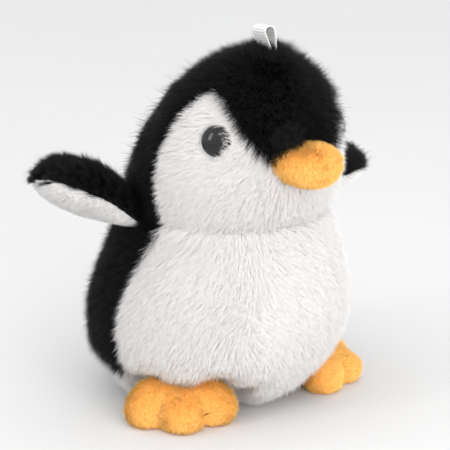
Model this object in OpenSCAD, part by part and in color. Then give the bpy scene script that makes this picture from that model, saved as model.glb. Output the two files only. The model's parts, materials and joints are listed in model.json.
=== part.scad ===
// Plush penguin, sitting on a flat base. Every panel of plush fabric, every handful of
// filling, both eyes with their washers and the ribbon loop are separate solids.
// Millimetres, +Z up, origin at the centre of the flat base. The beak points to -Y,
// the penguin's own left side is +X.

/* [Torso and head] */
// Width of the torso panels at the hips
torso_w = 80; // [60:1:110]
// Height of the head panels' crown above the base
crown_h = 113.8; // [90:0.2:140]
// Width of the head panels at the cheeks
head_w = 63.6; // [50:0.2:80]
// Thickness of the long-pile plush, backing and crushed pile together
plush_t = 2.4; // [1.5:0.1:4]
// Gap left at every seam between two panels
seam_gap = 0.3; // [0.1:0.05:0.8]

/* [Beak] */
// Width of the beak at the face
beak_w = 19.6; // [14:0.5:28]
// Height of the beak at the face
beak_h = 11.8; // [9:0.2:18]
// How far the beak stands out from the face
beak_reach = 12.8; // [10:0.2:24]
// Height of the beak's side seam above the base
beak_z = 86.2; // [78:0.2:92]
// Thickness of the short-pile plush on beak, feet and wings
minky_t = 1.2; // [0.8:0.1:2]

/* [Eyes] */
// Diameter of the eye's dome
eye_d = 9.5; // [6:0.5:14]
// Height of the eye's dome above its flat back
eye_dome_h = 3.4; // [2:0.1:6]
// Angle of the eye round the head, measured from the beak
eye_round = 52; // [35:1:75]
// Height of the eye's centre above the base
eye_z = 91.8; // [84:0.5:100]
// How far the eye is turned outwards from the cheek's own direction
eye_turn = 2; // [0:1:25]
// Diameter of the eye's stem
stem_d = 3.2; // [2:0.1:4.5]
// Length of the eye's stem behind the dome
stem_len = 9.5; // [7:0.5:14]
// Diameter of the washer that locks the stem
washer_d = 11; // [8:0.5:16]

/* [Wings] */
// Length of a wing from its seam to the tip
wing_len = 33; // [30:1:60]
// Widest chord of a wing
wing_chord = 27; // [18:1:36]
// Thickness of a wing at its middle
wing_t = 13.2; // [8:0.2:18]
// Upward angle of the right wing
wing_up_right = 27; // [-20:1:45]
// Upward angle of the left wing
wing_up_left = 8; // [-20:1:45]
// Backward sweep of the right wing
wing_sweep_right = 12; // [0:1:30]
// Backward sweep of the left wing
wing_sweep_left = 9; // [0:1:30]
// How far the front edge of each wing is twisted up
wing_twist = 12; // [0:1:40]

/* [Feet] */
// Length of a foot from its seam to the middle toe
foot_len = 26.5; // [18:0.5:34]
// Width of a foot across the outer toes
foot_w = 35; // [24:1:44]
// Greatest height of a foot, where the belly rests on it
foot_h = 13; // [8:0.2:16]
// How far the two shoulders of a foot rise above its middle
foot_rise = 2.6; // [0:0.2:4]
// Outward turn of the right foot
splay_right = 30; // [0:1:60]
// Outward turn of the left foot
splay_left = 46; // [0:1:60]

/* [Hanging loop] */
// Width of the ribbon
ribbon_w = 6.4; // [4:0.2:10]
// Thickness of the ribbon
ribbon_t = 0.7; // [0.4:0.1:1.2]
// Clear gap between the two legs of the loop
loop_gap = 4.6; // [4.2:0.1:8]
// Height of the loop above the crown
loop_h = 10.2; // [8:0.2:20]

/* [Hidden] */
$fn = 48;

black_c = [0.06, 0.06, 0.07];
white_c = [0.93, 0.93, 0.94];
grey_c = [0.84, 0.83, 0.82];
orange_c = [1.0, 0.68, 0.30];
fill_c = [0.98, 0.98, 0.96];
eye_c = [0.09, 0.09, 0.10];
ribbon_c = [0.90, 0.90, 0.88];

kw = torso_w / 80;
kh = head_w / 63.6;
kz = (crown_h - 64) / 49.8;

// One row per height: [z, half width, front y, back y, y of the widest point].
// Rows 0 to 7 are the torso, row 7 is the neck seam, row 16 is the crown.
rows = [
  [0, 25 * kw, -23, 23, 0],
  [4, 30.8 * kw, -31.2, 29.5, -2],
  [12, 35.8 * kw, -40.7, 31.5, -5],
  [22, 39.4 * kw, -46.4, 32, -7],
  [34, 40 * kw, -49, 30, -9],
  [46, 37 * kw, -48, 26, -11],
  [56, 33 * kw, -46, 22, -13],
  [64, 29.5 * kh, -43, 17, -15],
  [64 + 6 * kz, 31 * kh, -46.5, 15.5, -16],
  [64 + 15 * kz, 31.8 * kh, -49, 12.8, -18.5],
  [64 + 24 * kz, 30 * kh, -49.3, 9, -20.5],
  [64 + 32 * kz, 26.5 * kh, -48, 3.5, -22.5],
  [64 + 39 * kz, 21.5 * kh, -45.5, -3.5, -24.5],
  [64 + 44 * kz, 16 * kh, -42, -10.5, -26.5],
  [64 + 47.3 * kz, 10.5 * kh, -38, -17, -28],
  [64 + 49.2 * kz, 5 * kh, -33.5, -23.5, -28.7],
  [64 + 49.8 * kz, 0, -29, -29, -29],
  [64 + 49.2 * kz, -5 * kh, -24.5, -34.5, -29.3]];
neck_v = 7;
crown_v = 16;

// Catmull-Rom spline through the rows
function cr(a, b, c, d, t) = 0.5 * (2 * b + (c - a) * t + (2 * a - 5 * b + 4 * c - d) * t * t
  + (3 * b - a - 3 * c + d) * t * t * t);
function row(v) = let(i = min(max(floor(v), 0), crown_v - 1), t = v - i,
  a = i > 0 ? rows[i - 1] : 2 * rows[0] - rows[1])
  cr(a, rows[i], rows[i + 1], rows[i + 2], t);
// Row number at a height, straight between rows
function zv(z, i = 0) = (i >= crown_v - 1 || z < rows[i + 1][0])
  ? i + (z - rows[i][0]) / (rows[i + 1][0] - rows[i][0]) : zv(z, i + 1);
// Straight interpolation in a table of [key, value]
function tab(T, k, i = 0) = k <= T[0][0] ? T[0][1]
  : i >= len(T) - 1 ? T[len(T) - 1][1]
  : k < T[i + 1][0] ? T[i][1] + (T[i + 1][1] - T[i][1]) * (k - T[i][0]) / (T[i + 1][0] - T[i][0])
  : tab(T, k, i + 1);
// Side of the body and angle from the beak, for an angle of 0 to 360 round it
function sd(a) = a > 180 ? -1 : 1;
function ab(a) = a > 180 ? 360 - a : a;
function ramp(a, b, x) = let(t = min(max((x - a) / (b - a), 0), 1)) t * t * (3 - 2 * t);
function unit(p) = p / norm(p);

// Frame of a foot: root point, outward direction and sideways direction
function splay(s) = s < 0 ? splay_right : splay_left;
function foot_root(s) = s < 0 ? [-21.3, -14, 0] : [23.2, -13.4, 0];
function foot_dir(s) = [s * sin(splay(s)), -cos(splay(s)), 0];
function foot_side(s) = [s * cos(splay(s)), sin(splay(s)), 0];

// Rise of a foot's two shoulders above its middle, by the distance b to the side
function shoulder(b) = foot_rise * ramp(2.5, 9.5, b);

// The torso is pressed in where a foot sits under the belly
function dent(p, s, m) = let(q = p - foot_root(s), a = q * foot_dir(s), b = abs(q * foot_side(s)),
  roof = foot_h - 0.6 + shoulder(b) * (1 - ramp(12, 17, b)) + m, over = ramp(roof, roof + 3.2, p[2]),
  beside = ramp(foot_w / 2 + 1.2 + m, foot_w / 2 + 7 + m, b))
  foot_dir(s) * min(0, -0.8 - a) * (1 - over) * (1 - beside);

// Point of the outer surface: side s, angle round from the beak, row number
function skin0(s, az, v) = let(r = row(v), c = -cos(az))
  [s * sin(az) * r[1], r[4] + (c < 0 ? (r[4] - r[2]) * c : (r[3] - r[4]) * c), r[0]];
function skin(s, az, v, m = 0) = let(p = skin0(s, az, v))
  v > 3 ? p : p + dent(p, -1, m) + dent(p, 1, m);
// Direction used to go inwards from the surface
function core(v) = let(r = row(v)) [0, r[0] > 95 ? -23 : r[4], min(max(r[0], 30), 95)];
function inward(p, v, t) = p - t * unit(p - core(v));

// Closed shell between two grids of points with the same size
module shell(P, Q, flip = false, pole = false) {
  R = len(P);
  C = len(P[0]);
  N = R * C;
  function o(r, c) = (pole && r == R - 1) ? r * C : r * C + c;
  function n(r, c) = N + o(r, c);
  quads = concat(
    [for (r = [0 : R - 2], c = [0 : C - 2]) [o(r, c), o(r, c + 1), o(r + 1, c + 1), o(r + 1, c)]],
    [for (r = [0 : R - 2], c = [0 : C - 2]) [n(r, c), n(r + 1, c), n(r + 1, c + 1), n(r, c + 1)]],
    [for (c = [0 : C - 2]) [o(0, c + 1), o(0, c), n(0, c), n(0, c + 1)]],
    pole ? [] : [for (c = [0 : C - 2]) [o(R - 1, c), o(R - 1, c + 1), n(R - 1, c + 1), n(R - 1, c)]],
    [for (r = [0 : R - 2]) [o(r, 0), o(r + 1, 0), n(r + 1, 0), n(r, 0)]],
    [for (r = [0 : R - 2]) [o(r + 1, C - 1), o(r, C - 1), n(r, C - 1), n(r + 1, C - 1)]]);
  tris = [for (q = quads) each [[q[0], q[1], q[2]], [q[0], q[2], q[3]]]];
  good = [for (f = tris) if (f[0] != f[1] && f[1] != f[2] && f[0] != f[2]) f];
  polyhedron([for (r = P) each r, for (r = Q) each r],
    flip ? good : [for (f = good) [f[2], f[1], f[0]]], convexity = 6);
}

// Closed solid from a stack of rings, with a point at each end
module stack(rings, bottom, top, flip = false) {
  R = len(rings);
  C = len(rings[0]);
  b = R * C;
  t = b + 1;
  tris = [
    for (r = [0 : R - 2], c = [0 : C - 1]) each let(d = (c + 1) % C)
      [[r * C + c, r * C + d, (r + 1) * C + d], [r * C + c, (r + 1) * C + d, (r + 1) * C + c]],
    for (c = [0 : C - 1]) [b, (c + 1) % C, c],
    for (c = [0 : C - 1]) [t, (R - 1) * C + c, (R - 1) * C + (c + 1) % C]];
  polyhedron(concat([for (r = rings) each r], [bottom, top]),
    flip ? tris : [for (f = tris) [f[2], f[1], f[0]]], convexity = 6);
}

// Cup with a thick wall: rings from the rim to the middle, outside and inside
module cup(outer, inner, outer_mid, inner_mid, flip) {
  R = len(outer);
  C = len(outer[0]);
  N = R * C;
  last = (R - 1) * C;
  tris = [for (c = [0 : C - 1]) each let(d = (c + 1) % C) concat(
    [for (r = [0 : R - 2]) each let(a = r * C + c, b = r * C + d, e = a + C, f = b + C)
      [[a, b, f], [a, f, e], [N + a, N + f, N + b], [N + a, N + e, N + f]]],
    [[d, c, N + c], [d, N + c, N + d],
      [last + c, last + d, 2 * N], [N + last + d, N + last + c, 2 * N + 1]])];
  polyhedron(concat([for (r = outer) each r], [for (r = inner) each r], [outer_mid, inner_mid]),
    flip ? [for (f = tris) [f[2], f[1], f[0]]] : tris, convexity = 6);
}

// ---- head -------------------------------------------------------------------
// Seam between black hood and white face: [angle from the beak, height]
seam = [[9, 85.8], [19, 86.8], [27, 90], [35, 94.2], [46, 99.8], [56, 103.6], [66, 105.4],
  [75, 103.6], [81.5, 100], [85, 94], [86, 88], [85.5, 80], [82, 72], [77, 64]];
face_front = [[85.4, 0], [85.8, 9], [86.8, 19], [90, 27], [94.2, 35], [99.8, 46], [103.6, 56], [105.4, 66]];
face_rear = [[64, 77], [72, 82], [80, 85.5], [88, 86], [94, 85], [100, 81.5], [103.6, 75], [105.4, 66]];

// Flat chart of the head with the crown in the middle: radius 0 crown, 1 neck
function chart(az, v) = (crown_v - v) / (crown_v - neck_v) * [cos(az), sin(az)];
function seam_at(k) = let(i = min(floor(k), len(seam) - 2), t = k - i, a = seam[i], b = seam[i + 1])
  [a[0] + (b[0] - a[0]) * t, zv(a[1] + (b[1] - a[1]) * t)];
// Midline from the top of the beak over the crown to the nape
function mid_at(t) = let(top = (crown_v - zv(85.4)) / (crown_v - neck_v)) [top - (top + 1) * t, 0];
function hood_q(t, u) = let(k = t * (len(seam) - 1), sp = seam_at(k), B = chart(sp[0], sp[1]), M = mid_at(t),
  lin = B + (M - B) * u, m = norm(M), am = M[0] < 0 ? 180 : 0,
  rad = norm(B) + (m - norm(B)) * u, ang = sp[0] + (am - sp[0]) * u, w = pow(t, 5))
  lin * (1 - w) + rad * [cos(ang), sin(ang)] * w;
function hood_p(s, t, u, d) = let(q = hood_q(t, u), v = crown_v - norm(q) * (crown_v - neck_v),
  az = norm(q) < 0.0001 ? 0 : atan2(q[1], q[0]), p = skin(s, az, v),
  g = seam_gap / 2, x = s * max(g, s * p[0]))
  inward([x, p[1], p[2]], v, d);
module hood(s) {
  nt = 27;
  nu = 9;
  g = 0.012;
  function us(j) = g + (1 - g) * j / nu;
  function ts(i) = i == nt ? 1 - 0.006 : i / nt;
  P = [for (i = [0 : nt]) [for (j = [0 : nu]) hood_p(s, ts(i), us(j), 0)]];
  Q = [for (i = [0 : nt]) [for (j = [0 : nu]) hood_p(s, ts(i), us(j), plush_t)]];
  color(black_c) shell(P, Q, s > 0);
}

eye_az = eye_round;
function eye_v() = zv(eye_z);
function eye_point(s) = skin(s, eye_az, eye_v());
function eye_axis(s) = let(e = 2, v = eye_v(),
  du = skin(s, eye_az + e, v) - skin(s, eye_az - e, v),
  dv = skin(s, eye_az, v + 0.05) - skin(s, eye_az, v - 0.05),
  n0 = unit(cross(du, dv)), n = n0 * (n0[1] > 0 ? -1 : 1),
  a = atan2(n[0] * s, -n[1]) + eye_turn, h = norm([n[0], n[1]]))
  [s * sin(a) * h, -cos(a) * h, n[2]];
// The eye's flat back sits this far above the crushed pile, in a hollow
eye_seat = 0.3;
module at_eye(s) {
  n = eye_axis(s);
  translate(eye_point(s)) rotate([0, acos(n[2]), atan2(n[1], n[0])]) children();
}

module face(s) {
  nv = 15;
  na = 9;
  v0 = neck_v + 0.03;
  v1 = zv(104.9);
  function fv(i) = v0 + (v1 - v0) * i / nv;
  function lo(v) = let(z = row(v)[0], a = tab(face_front, z)) a <= 0.5 ? 0.3 : a + 0.5;
  function hi(v) = let(z = row(v)[0]) tab(face_rear, z) - 0.6;
  function fp(i, j, d) = let(v = fv(i), az = lo(v) + max(hi(v) - lo(v), 0.8) * j / na)
    inward(skin(s, az, v), v, d);
  P = [for (i = [0 : nv]) [for (j = [0 : na]) fp(i, j, 0)]];
  Q = [for (i = [0 : nv]) [for (j = [0 : na]) fp(i, j, plush_t)]];
  color(white_c) difference() {
    shell(P, Q, s < 0);
    at_eye(s) cylinder(d = stem_d + 0.4, h = 16, center = true, $fn = 16);
    at_eye(s) translate([0, 0, eye_seat - 0.15]) cylinder(d = eye_d + 0.6, h = 8, $fn = 32);
  }
}

// Dome, short rim and ridged stem, turned about the eye's axis
module eye(s) {
  r = eye_d / 2;
  hs = eye_dome_h - 0.9;
  R = (r * r + hs * hs) / (2 * hs);
  b0 = eye_seat;
  color(eye_c) at_eye(s) rotate_extrude($fn = 48) polygon(concat(
    [[0, b0 - stem_len], [stem_d / 2 - 0.5, b0 - stem_len], [stem_d / 2, b0 - stem_len + 0.8]],
    [[stem_d / 2, b0], [r - 0.35, b0], [r, b0 + 0.35], [r, b0 + 0.9]],
    [for (k = [1 : 9]) let(a = asin(r / R) * (9 - k) / 9) [R * sin(a), b0 + 0.9 + hs - R + R * cos(a)]]));
}

module eye_washer(s) {
  color(white_c) at_eye(s) translate([0, 0, -plush_t - 4]) difference() {
    union() {
      cylinder(d = washer_d, h = 1.1);
      translate([0, 0, -1.4]) cylinder(d = stem_d + 3.2, h = 1.8);
    }
    translate([0, 0, -3]) cylinder(d = stem_d + 0.1, h = 8);
  }
}

module head_stuffing() {
  nr = 14;
  nc = 32;
  d = plush_t + 0.45;
  v0 = neck_v + 0.1;
  v1 = crown_v - 0.35;
  rings = [for (i = [0 : nr]) let(v = v0 + (v1 - v0) * i / nr)
    [for (j = [0 : nc - 1]) inward(skin(sd(360 * j / nc), ab(360 * j / nc), v), v, d)]];
  color(fill_c) difference() {
    stack(rings, [0, -15, rings[0][0][2]], [0, -29, crown_h - plush_t - 0.45], false);
    for (s = [-1, 1]) at_eye(s) {
      translate([0, 0, -stem_len - 0.2]) cylinder(d = stem_d + 4.4, h = 12, $fn = 16);
      translate([0, 0, -plush_t - 4.4]) cylinder(d = washer_d + 1.6, h = 9, $fn = 24);
    }
  }
}

// ---- beak -------------------------------------------------------------------
// Front of the head at a sideways position and height
function face_y(x, z) = let(r = row(zv(z)), k = min(abs(x) / r[1], 1)) r[4] + (r[2] - r[4]) * sqrt(1 - k * k);
// Rows of the beak: [reach, width factor, height factor, drop of the centre]
beak_rows = [[0, 1, 1, 0], [0.12, 1.03, 1.02, 0], [0.3, 1.02, 1.01, 0.1], [0.5, 0.97, 0.97, 0.3],
  [0.68, 0.87, 0.89, 0.5], [0.83, 0.7, 0.75, 0.8], [0.94, 0.45, 0.52, 1.0], [1, 0.12, 0.16, 1.1]];
// Share of the beak's height that lies above the side seam
beak_over = 0.37;
function beak_p(k, b, t, up) = let(r = beak_rows[k], share = up > 0 ? beak_over : 1 - beak_over,
  w = max(beak_w / 2 * r[1] - t, beak_w * 0.02), h = max(beak_h * share * r[2] - t, beak_h * 0.02),
  x = w * cos(b), z = beak_z - r[3] + up * (0.1 + h * sin(b)),
  reach = 0.2 + r[0] * (beak_reach - t), f = min(1, r[0] / 0.35))
  [x, face_y(x, z) * (1 - f) + face_y(0, beak_z) * f - reach, z];
module beak_half(up) {
  nb = 14;
  nk = len(beak_rows) - 1;
  P = [for (k = [0 : nk]) [for (j = [0 : nb]) beak_p(k, 180 * j / nb, 0, up)]];
  Q = [for (k = [0 : nk]) [for (j = [0 : nb]) beak_p(k, 180 * j / nb, minky_t, up)]];
  color(orange_c) shell(P, Q, up < 0);
}
module beak_stuffing() {
  nb = 20;
  nk = len(beak_rows) - 1;
  rings = [for (k = [0 : nk]) [for (j = [0 : nb - 1]) let(b = 360 * j / nb, u = b < 180 ? 1 : -1)
    beak_p(k, b < 180 ? b : 360 - b, minky_t + 0.25, u) - [0, 0.1, 0]]];
  color(fill_c) stack(rings, beak_p(0, 90, beak_h / 2, 1) - [0, 0.1, 0],
    beak_p(nk, 90, beak_h, 1) - [0, 0.15, 0], false);
}

// ---- torso ------------------------------------------------------------------
side_seam = [[0, 86], [24, 86], [32, 87.5], [40, 86.5], [48, 84.5], [58, 81], [64, 78]];
function side_az(z) = tab(side_seam, z);
// Upper edge of the base panel, low in front and higher behind
function base_edge(az) = 3 + 15 * ramp(62, 100, az);
low_rows = [0, 0.05, 0.1, 0.135, 0.17, 0.21, 0.28, 0.36, 0.45, 0.55, 0.65, 0.75, 0.85, 0.93, 1];
function torso_z(az, k, g) = let(a = base_edge(az) + g) a + (64 - g - a) * k;
function torso_p(s, az, z, d) = let(v = zv(z)) inward(skin(s, az, v), v, d);
module back(s) {
  na = 11;
  rr = [for (i = [0 : 13]) i / 13];
  function az(z, j) = side_az(z) + 0.4 + (180 - 0.3 - side_az(z) - 0.4) * j / na;
  function bp(k, j, d) = let(a0 = az(20, j), z = torso_z(a0, k, 0.3)) torso_p(s, az(z, j), z, d);
  P = [for (k = rr) [for (j = [0 : na]) bp(k, j, 0)]];
  Q = [for (k = rr) [for (j = [0 : na]) bp(k, j, plush_t)]];
  color(black_c) shell(P, Q, s < 0);
}
module belly() {
  na = 26;
  function az(z, j) = let(h = side_az(z) - 0.4) -h + 2 * h * j / na;
  function bp(k, j, d) = let(a0 = az(10, j), z = torso_z(abs(a0), k, 0.3), a = az(z, j))
    torso_p(a < 0 ? -1 : 1, abs(a), z, d);
  P = [for (k = low_rows) [for (j = [0 : na]) bp(k, j, 0)]];
  Q = [for (k = low_rows) [for (j = [0 : na]) bp(k, j, plush_t)]];
  color(white_c) shell(P, Q, false);
}
// Shallow cup: flat underneath, turned up behind
module base_panel() {
  nc = 44;
  ks = [1, 0.66, 0.33, 0];
  // Side walls row by row, then the flat bottom, at a depth d inside the surface
  function side_row(k, d) = [for (j = [0 : nc - 1]) let(a = 360 * j / nc)
    torso_p(sd(a), ab(a), (base_edge(ab(a)) - 0.3) * k, d)];
  function flat_row(f, d, z) = [for (p = side_row(0, d)) [p[0] * f, p[1] * f, z]];
  outer = concat([for (k = ks) side_row(k, 0)], [for (f = [0.8, 0.4]) flat_row(f, 0, 0)]);
  inner = concat([for (k = ks) side_row(k, plush_t)], [for (f = [0.8, 0.4]) flat_row(f, plush_t, 2)]);
  color(white_c) cup(outer, inner, [0, 0, 0], [0, 0, 2], false);
}
module body_stuffing() {
  nc = 40;
  vs = [0.05, 0.4, 0.9, 1.3, 1.7, 2.1, 2.5, 3, 3.5, 4, 4.5, 5, 5.5, 6, 6.5, 6.95];
  d = plush_t + 1.1;
  rings = [for (v = vs) [for (j = [0 : nc - 1]) let(a = 360 * j / nc)
    inward(skin(sd(a), ab(a), v, 3), v, d)]];
  color(fill_c) stack(rings, [0, 0, 3], [0, -15, 63.5], false);
}

// ---- wings ------------------------------------------------------------------
wing_root_x = 30.6;
wing_root_y = -3;
wing_root_z = 62.6;
// Share of the thickness above the wing's seam
wing_over = 0.64;
function wing_up(s) = s < 0 ? wing_up_right : wing_up_left;
function wing_sweep(s) = s < 0 ? wing_sweep_right : wing_sweep_left;
function wing_l(s) = let(c = cos(wing_up(s)))
  [s * cos(wing_sweep(s)) * c, sin(wing_sweep(s)) * c, sin(wing_up(s))];
function wing_h(s) = [s * sin(wing_sweep(s)), -cos(wing_sweep(s)), 0];
function wing_n(s) = s * cross(wing_h(s), wing_l(s));
function wing_root(s) = [s * wing_root_x, wing_root_y, wing_root_z];
// Rows of a wing: [length, half chord factor, half thickness factor]
wing_rows = [[0, 0.6, 0.26], [0.08, 0.67, 0.46], [0.2, 0.78, 0.72], [0.36, 0.9, 0.92], [0.53, 0.99, 1],
  [0.69, 1, 0.97], [0.82, 0.9, 0.86], [0.92, 0.7, 0.67], [0.975, 0.44, 0.45], [1, 0.14, 0.22]];
function wing_p(s, k, b, t, up, pull = 0) = let(r = wing_rows[k], share = up > 0 ? wing_over : 1 - wing_over,
  c0 = wing_chord / 2 * r[1], h0 = wing_t * share * r[2],
  c = max(c0 - t, c0 * 0.4), h = max(h0 - t, h0 * 0.4), tw = wing_twist * ramp(0, 0.45, r[0]),
  across = wing_h(s) * cos(tw) + wing_n(s) * sin(tw), above = wing_n(s) * cos(tw) - wing_h(s) * sin(tw))
  wing_root(s) + wing_l(s) * (pull + r[0] * (wing_len - 2 * pull))
  + across * (c * cos(b)) + above * up * (0.1 + h * pow(max(sin(b), 0), 0.85));
module wing_half(s, up, col) {
  nb = 12;
  nk = len(wing_rows) - 1;
  P = [for (k = [0 : nk]) [for (j = [0 : nb]) wing_p(s, k, 180 * j / nb, 0, up)]];
  Q = [for (k = [0 : nk]) [for (j = [0 : nb]) wing_p(s, k, 180 * j / nb, minky_t, up, 0.6)]];
  color(col) shell(P, Q, s * up > 0);
}
module wing_stuffing(s) {
  nb = 20;
  nk = len(wing_rows) - 1;
  rings = [for (k = [1 : nk - 1]) [for (j = [0 : nb - 1]) let(b = 360 * j / nb, u = b < 180 ? 1 : -1)
    wing_p(s, k, b < 180 ? b : 360 - b, minky_t + 0.25, u, 0.8)]];
  a = wing_p(s, 1, 90, wing_chord, 0, 0.8);
  e = wing_p(s, nk - 1, 90, wing_chord, 0, 0.8);
  color(fill_c) stack(rings, a, e, s > 0);
}

// ---- feet -------------------------------------------------------------------
foot_mid = 11.5;
foot_seam_z = 5;
// Lobes of the outline, from a point under the middle of the foot: [forward, sideways, radius]
foot_lobes = [[-0.8, 0, 9.9], [8.1, 0, 6.9], [3.2, 11.4, 6.2], [3.2, -11.4, 6.2]];
function lobe_r(c, a) = let(along = c[0] * cos(a) + c[1] * sin(a), off = c[0] * sin(a) - c[1] * cos(a),
  q = c[2] * c[2] - off * off) q < 0 ? 0 : max(along + sqrt(q), 0);
function foot_out(a) = max([for (c = foot_lobes) lobe_r(c, a)]);
// The same outline with the toes run together, for the middle of the foot's top
function foot_soft(a) = (foot_out(a - 26) + foot_out(a - 13) + foot_out(a) + foot_out(a + 13)
  + foot_out(a + 26)) / 5;
function foot_r(a, rho, up) = let(w = ramp(0.35, up > 0 ? 0.95 : 0.7, rho))
  foot_soft(a) * (1 - w) + foot_out(a) * w;
function foot_scale(a) = cos(a) > 0 ? (foot_len - foot_mid) / 15 : 1;
function foot_ab(a, rho, t, up) = let(r = max(foot_r(a, rho, up) - t, 0.5) * rho)
  [foot_mid + r * cos(a) * foot_scale(a), r * sin(a) * foot_w / 35.2];
// Height along the foot: low at the seam, highest under the belly's edge, lower at the toes
foot_heights = [[0, 0.85], [6, 0.95], [12, 1], [16, 0.94], [20, 0.84], [24, 0.74], [27, 0.68]];
function foot_top(q) = foot_h * tab(foot_heights, q[0]) + shoulder(abs(q[1])) * (1 - ramp(9, 21, q[0]));
function foot_p(s, a, rho, t, up) = let(q = foot_ab(a, rho, t, up), H = foot_top(q),
  z = up > 0 ? foot_seam_z + 0.1 + (H - foot_seam_z - t - 0.1) * pow(1 - pow(rho, 3), 0.55)
    : foot_seam_z - 0.1 - (foot_seam_z - t - 0.1) * min(1, 1.3 * pow(1 - pow(rho, 5), 0.5)))
  foot_root(s) + foot_dir(s) * q[0] + foot_side(s) * q[1] + [0, 0, z];
foot_rho = [1, 0.97, 0.9, 0.78, 0.6, 0.35];
module foot_half(s, up) {
  nc = 48;
  function ring(rho, t) = [for (j = [0 : nc - 1]) foot_p(s, 360 * j / nc, rho, t, up)];
  outer = [for (rho = foot_rho) ring(rho, 0)];
  inner = [for (rho = foot_rho) ring(rho, minky_t)];
  color(orange_c) cup(outer, inner, foot_p(s, 0, 0, 0, up), foot_p(s, 0, 0, minky_t, up), s * up > 0);
}
module foot_stuffing(s) {
  nc = 36;
  t = minky_t + 0.45;
  lower = [for (h = [0.4, 0.8, 0.96]) [for (j = [0 : nc - 1]) foot_p(s, 360 * j / nc, h, t, -1)]];
  upper = [for (h = [0.96, 0.85, 0.65, 0.35]) [for (j = [0 : nc - 1]) foot_p(s, 360 * j / nc, h, t, 1)]];
  color(fill_c) stack(concat(lower, upper), foot_p(s, 0, 0, t, -1), foot_p(s, 0, 0, t, 1), s < 0);
}

// ---- hanging loop -----------------------------------------------------------
// Folded ribbon standing on the seam between the two halves of the hood
loop_y = -32.2;
loop_z = crown_h + 0.5;
module hanging_loop() {
  w = loop_gap + 2 * ribbon_t;
  r = w / 2;
  foot = 0.7;
  bow = 2.6;
  color(ribbon_c) translate([0, loop_y + ribbon_w / 2, loop_z]) rotate([90, 0, 0]) linear_extrude(ribbon_w)
    difference() {
      hull() {
        translate([0, loop_h - r]) circle(r, $fn = 48);
        translate([0, bow + r * 0.4]) square([w, 0.01], center = true);
        translate([0, 0.05]) square([2 * foot + 0.2, 0.1], center = true);
      }
      hull() {
        translate([0, loop_h - r]) circle(r - ribbon_t, $fn = 48);
        translate([0, bow + r * 0.4]) square([loop_gap, 0.01], center = true);
        translate([0, ribbon_t]) square([0.3, 0.01], center = true);
      }
    }
}

hood(1);  // hood_left
hood(-1);  // hood_right
face(1);  // face_left
face(-1);  // face_right
back(1);  // back_left
back(-1);  // back_right
belly();
base_panel();
beak_half(1);  // beak_upper
beak_half(-1);  // beak_lower
beak_stuffing();
wing_half(1, 1, black_c);  // wing_left_top
wing_half(1, -1, grey_c);  // wing_left_under
wing_stuffing(1);  // wing_left_stuffing
wing_half(-1, 1, black_c);  // wing_right_top
wing_half(-1, -1, grey_c);  // wing_right_under
wing_stuffing(-1);  // wing_right_stuffing
foot_half(1, 1);  // foot_left_top
foot_half(1, -1);  // foot_left_sole
foot_stuffing(1);  // foot_left_stuffing
foot_half(-1, 1);  // foot_right_top
foot_half(-1, -1);  // foot_right_sole
foot_stuffing(-1);  // foot_right_stuffing
eye(1);  // eye_left
eye(-1);  // eye_right
eye_washer(1);  // eye_washer_left
eye_washer(-1);  // eye_washer_right
hanging_loop();
head_stuffing();
body_stuffing();
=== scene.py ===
import bmesh
import bpy
import json
import math
import numpy as np
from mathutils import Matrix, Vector


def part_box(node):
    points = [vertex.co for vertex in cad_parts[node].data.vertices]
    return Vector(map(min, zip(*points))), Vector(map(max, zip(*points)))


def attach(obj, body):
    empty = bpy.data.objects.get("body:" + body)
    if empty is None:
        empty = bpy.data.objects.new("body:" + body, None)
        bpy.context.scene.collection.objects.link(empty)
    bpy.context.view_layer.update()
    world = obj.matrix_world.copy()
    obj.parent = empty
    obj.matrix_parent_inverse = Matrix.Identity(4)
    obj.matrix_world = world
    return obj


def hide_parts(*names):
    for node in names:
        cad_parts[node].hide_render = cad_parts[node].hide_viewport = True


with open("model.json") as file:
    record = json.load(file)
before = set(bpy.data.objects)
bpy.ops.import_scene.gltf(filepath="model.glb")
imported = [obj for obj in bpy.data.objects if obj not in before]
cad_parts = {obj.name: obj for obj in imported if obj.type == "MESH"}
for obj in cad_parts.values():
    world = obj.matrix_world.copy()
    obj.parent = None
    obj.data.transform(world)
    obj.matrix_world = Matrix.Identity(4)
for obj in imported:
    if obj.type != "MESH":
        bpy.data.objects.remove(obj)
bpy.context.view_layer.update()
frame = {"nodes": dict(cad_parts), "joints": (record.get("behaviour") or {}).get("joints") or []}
NODES = frame["nodes"]
JOINT = {j["name"]: j for j in frame["joints"]}
MM = 0.001
SIDES = {"left": 1, "right": -1}
MOST_STRANDS = 20000


def vec(*a):
    return np.array(a, float) * MM


def unit(a):
    return a / np.maximum(np.linalg.norm(a, axis=-1, keepdims=True), 1e-12)


def dots(a, b):
    return (a * b).sum(-1, keepdims=True)


def smooth(a, b, x):
    t = np.clip((x - a) / (b - a), 0, 1)
    return t * t * (3 - 2 * t)


# ---- camera --------------------------------------------------------------------
scene = bpy.context.scene
scene.view_settings.view_transform = "Standard"
scene.view_settings.look = "None"


def aim(obj, target):
    d = Vector(target) - obj.location
    obj.rotation_euler = d.to_track_quat("-Z", "Y").to_euler()


VIEW_ROUND = math.radians(36.0)
VIEW_REACH = 0.430
VIEW_HEIGHT = 0.170
VIEW_AIM = (0.0, -0.011, 0.057)
VIEW_LENS = 108.32
cam_data = bpy.data.cameras.new("camera")
cam = bpy.data.objects.new("camera", cam_data)
scene.collection.objects.link(cam)
cam.location = (VIEW_AIM[0] - math.sin(VIEW_ROUND) * VIEW_REACH,
                VIEW_AIM[1] - math.cos(VIEW_ROUND) * VIEW_REACH, VIEW_HEIGHT)
aim(cam, VIEW_AIM)
cam_data.sensor_width = 36.0
cam_data.lens = VIEW_LENS
cam_data.clip_start = 0.01
cam_data.clip_end = 60.0
scene.camera = cam


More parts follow.
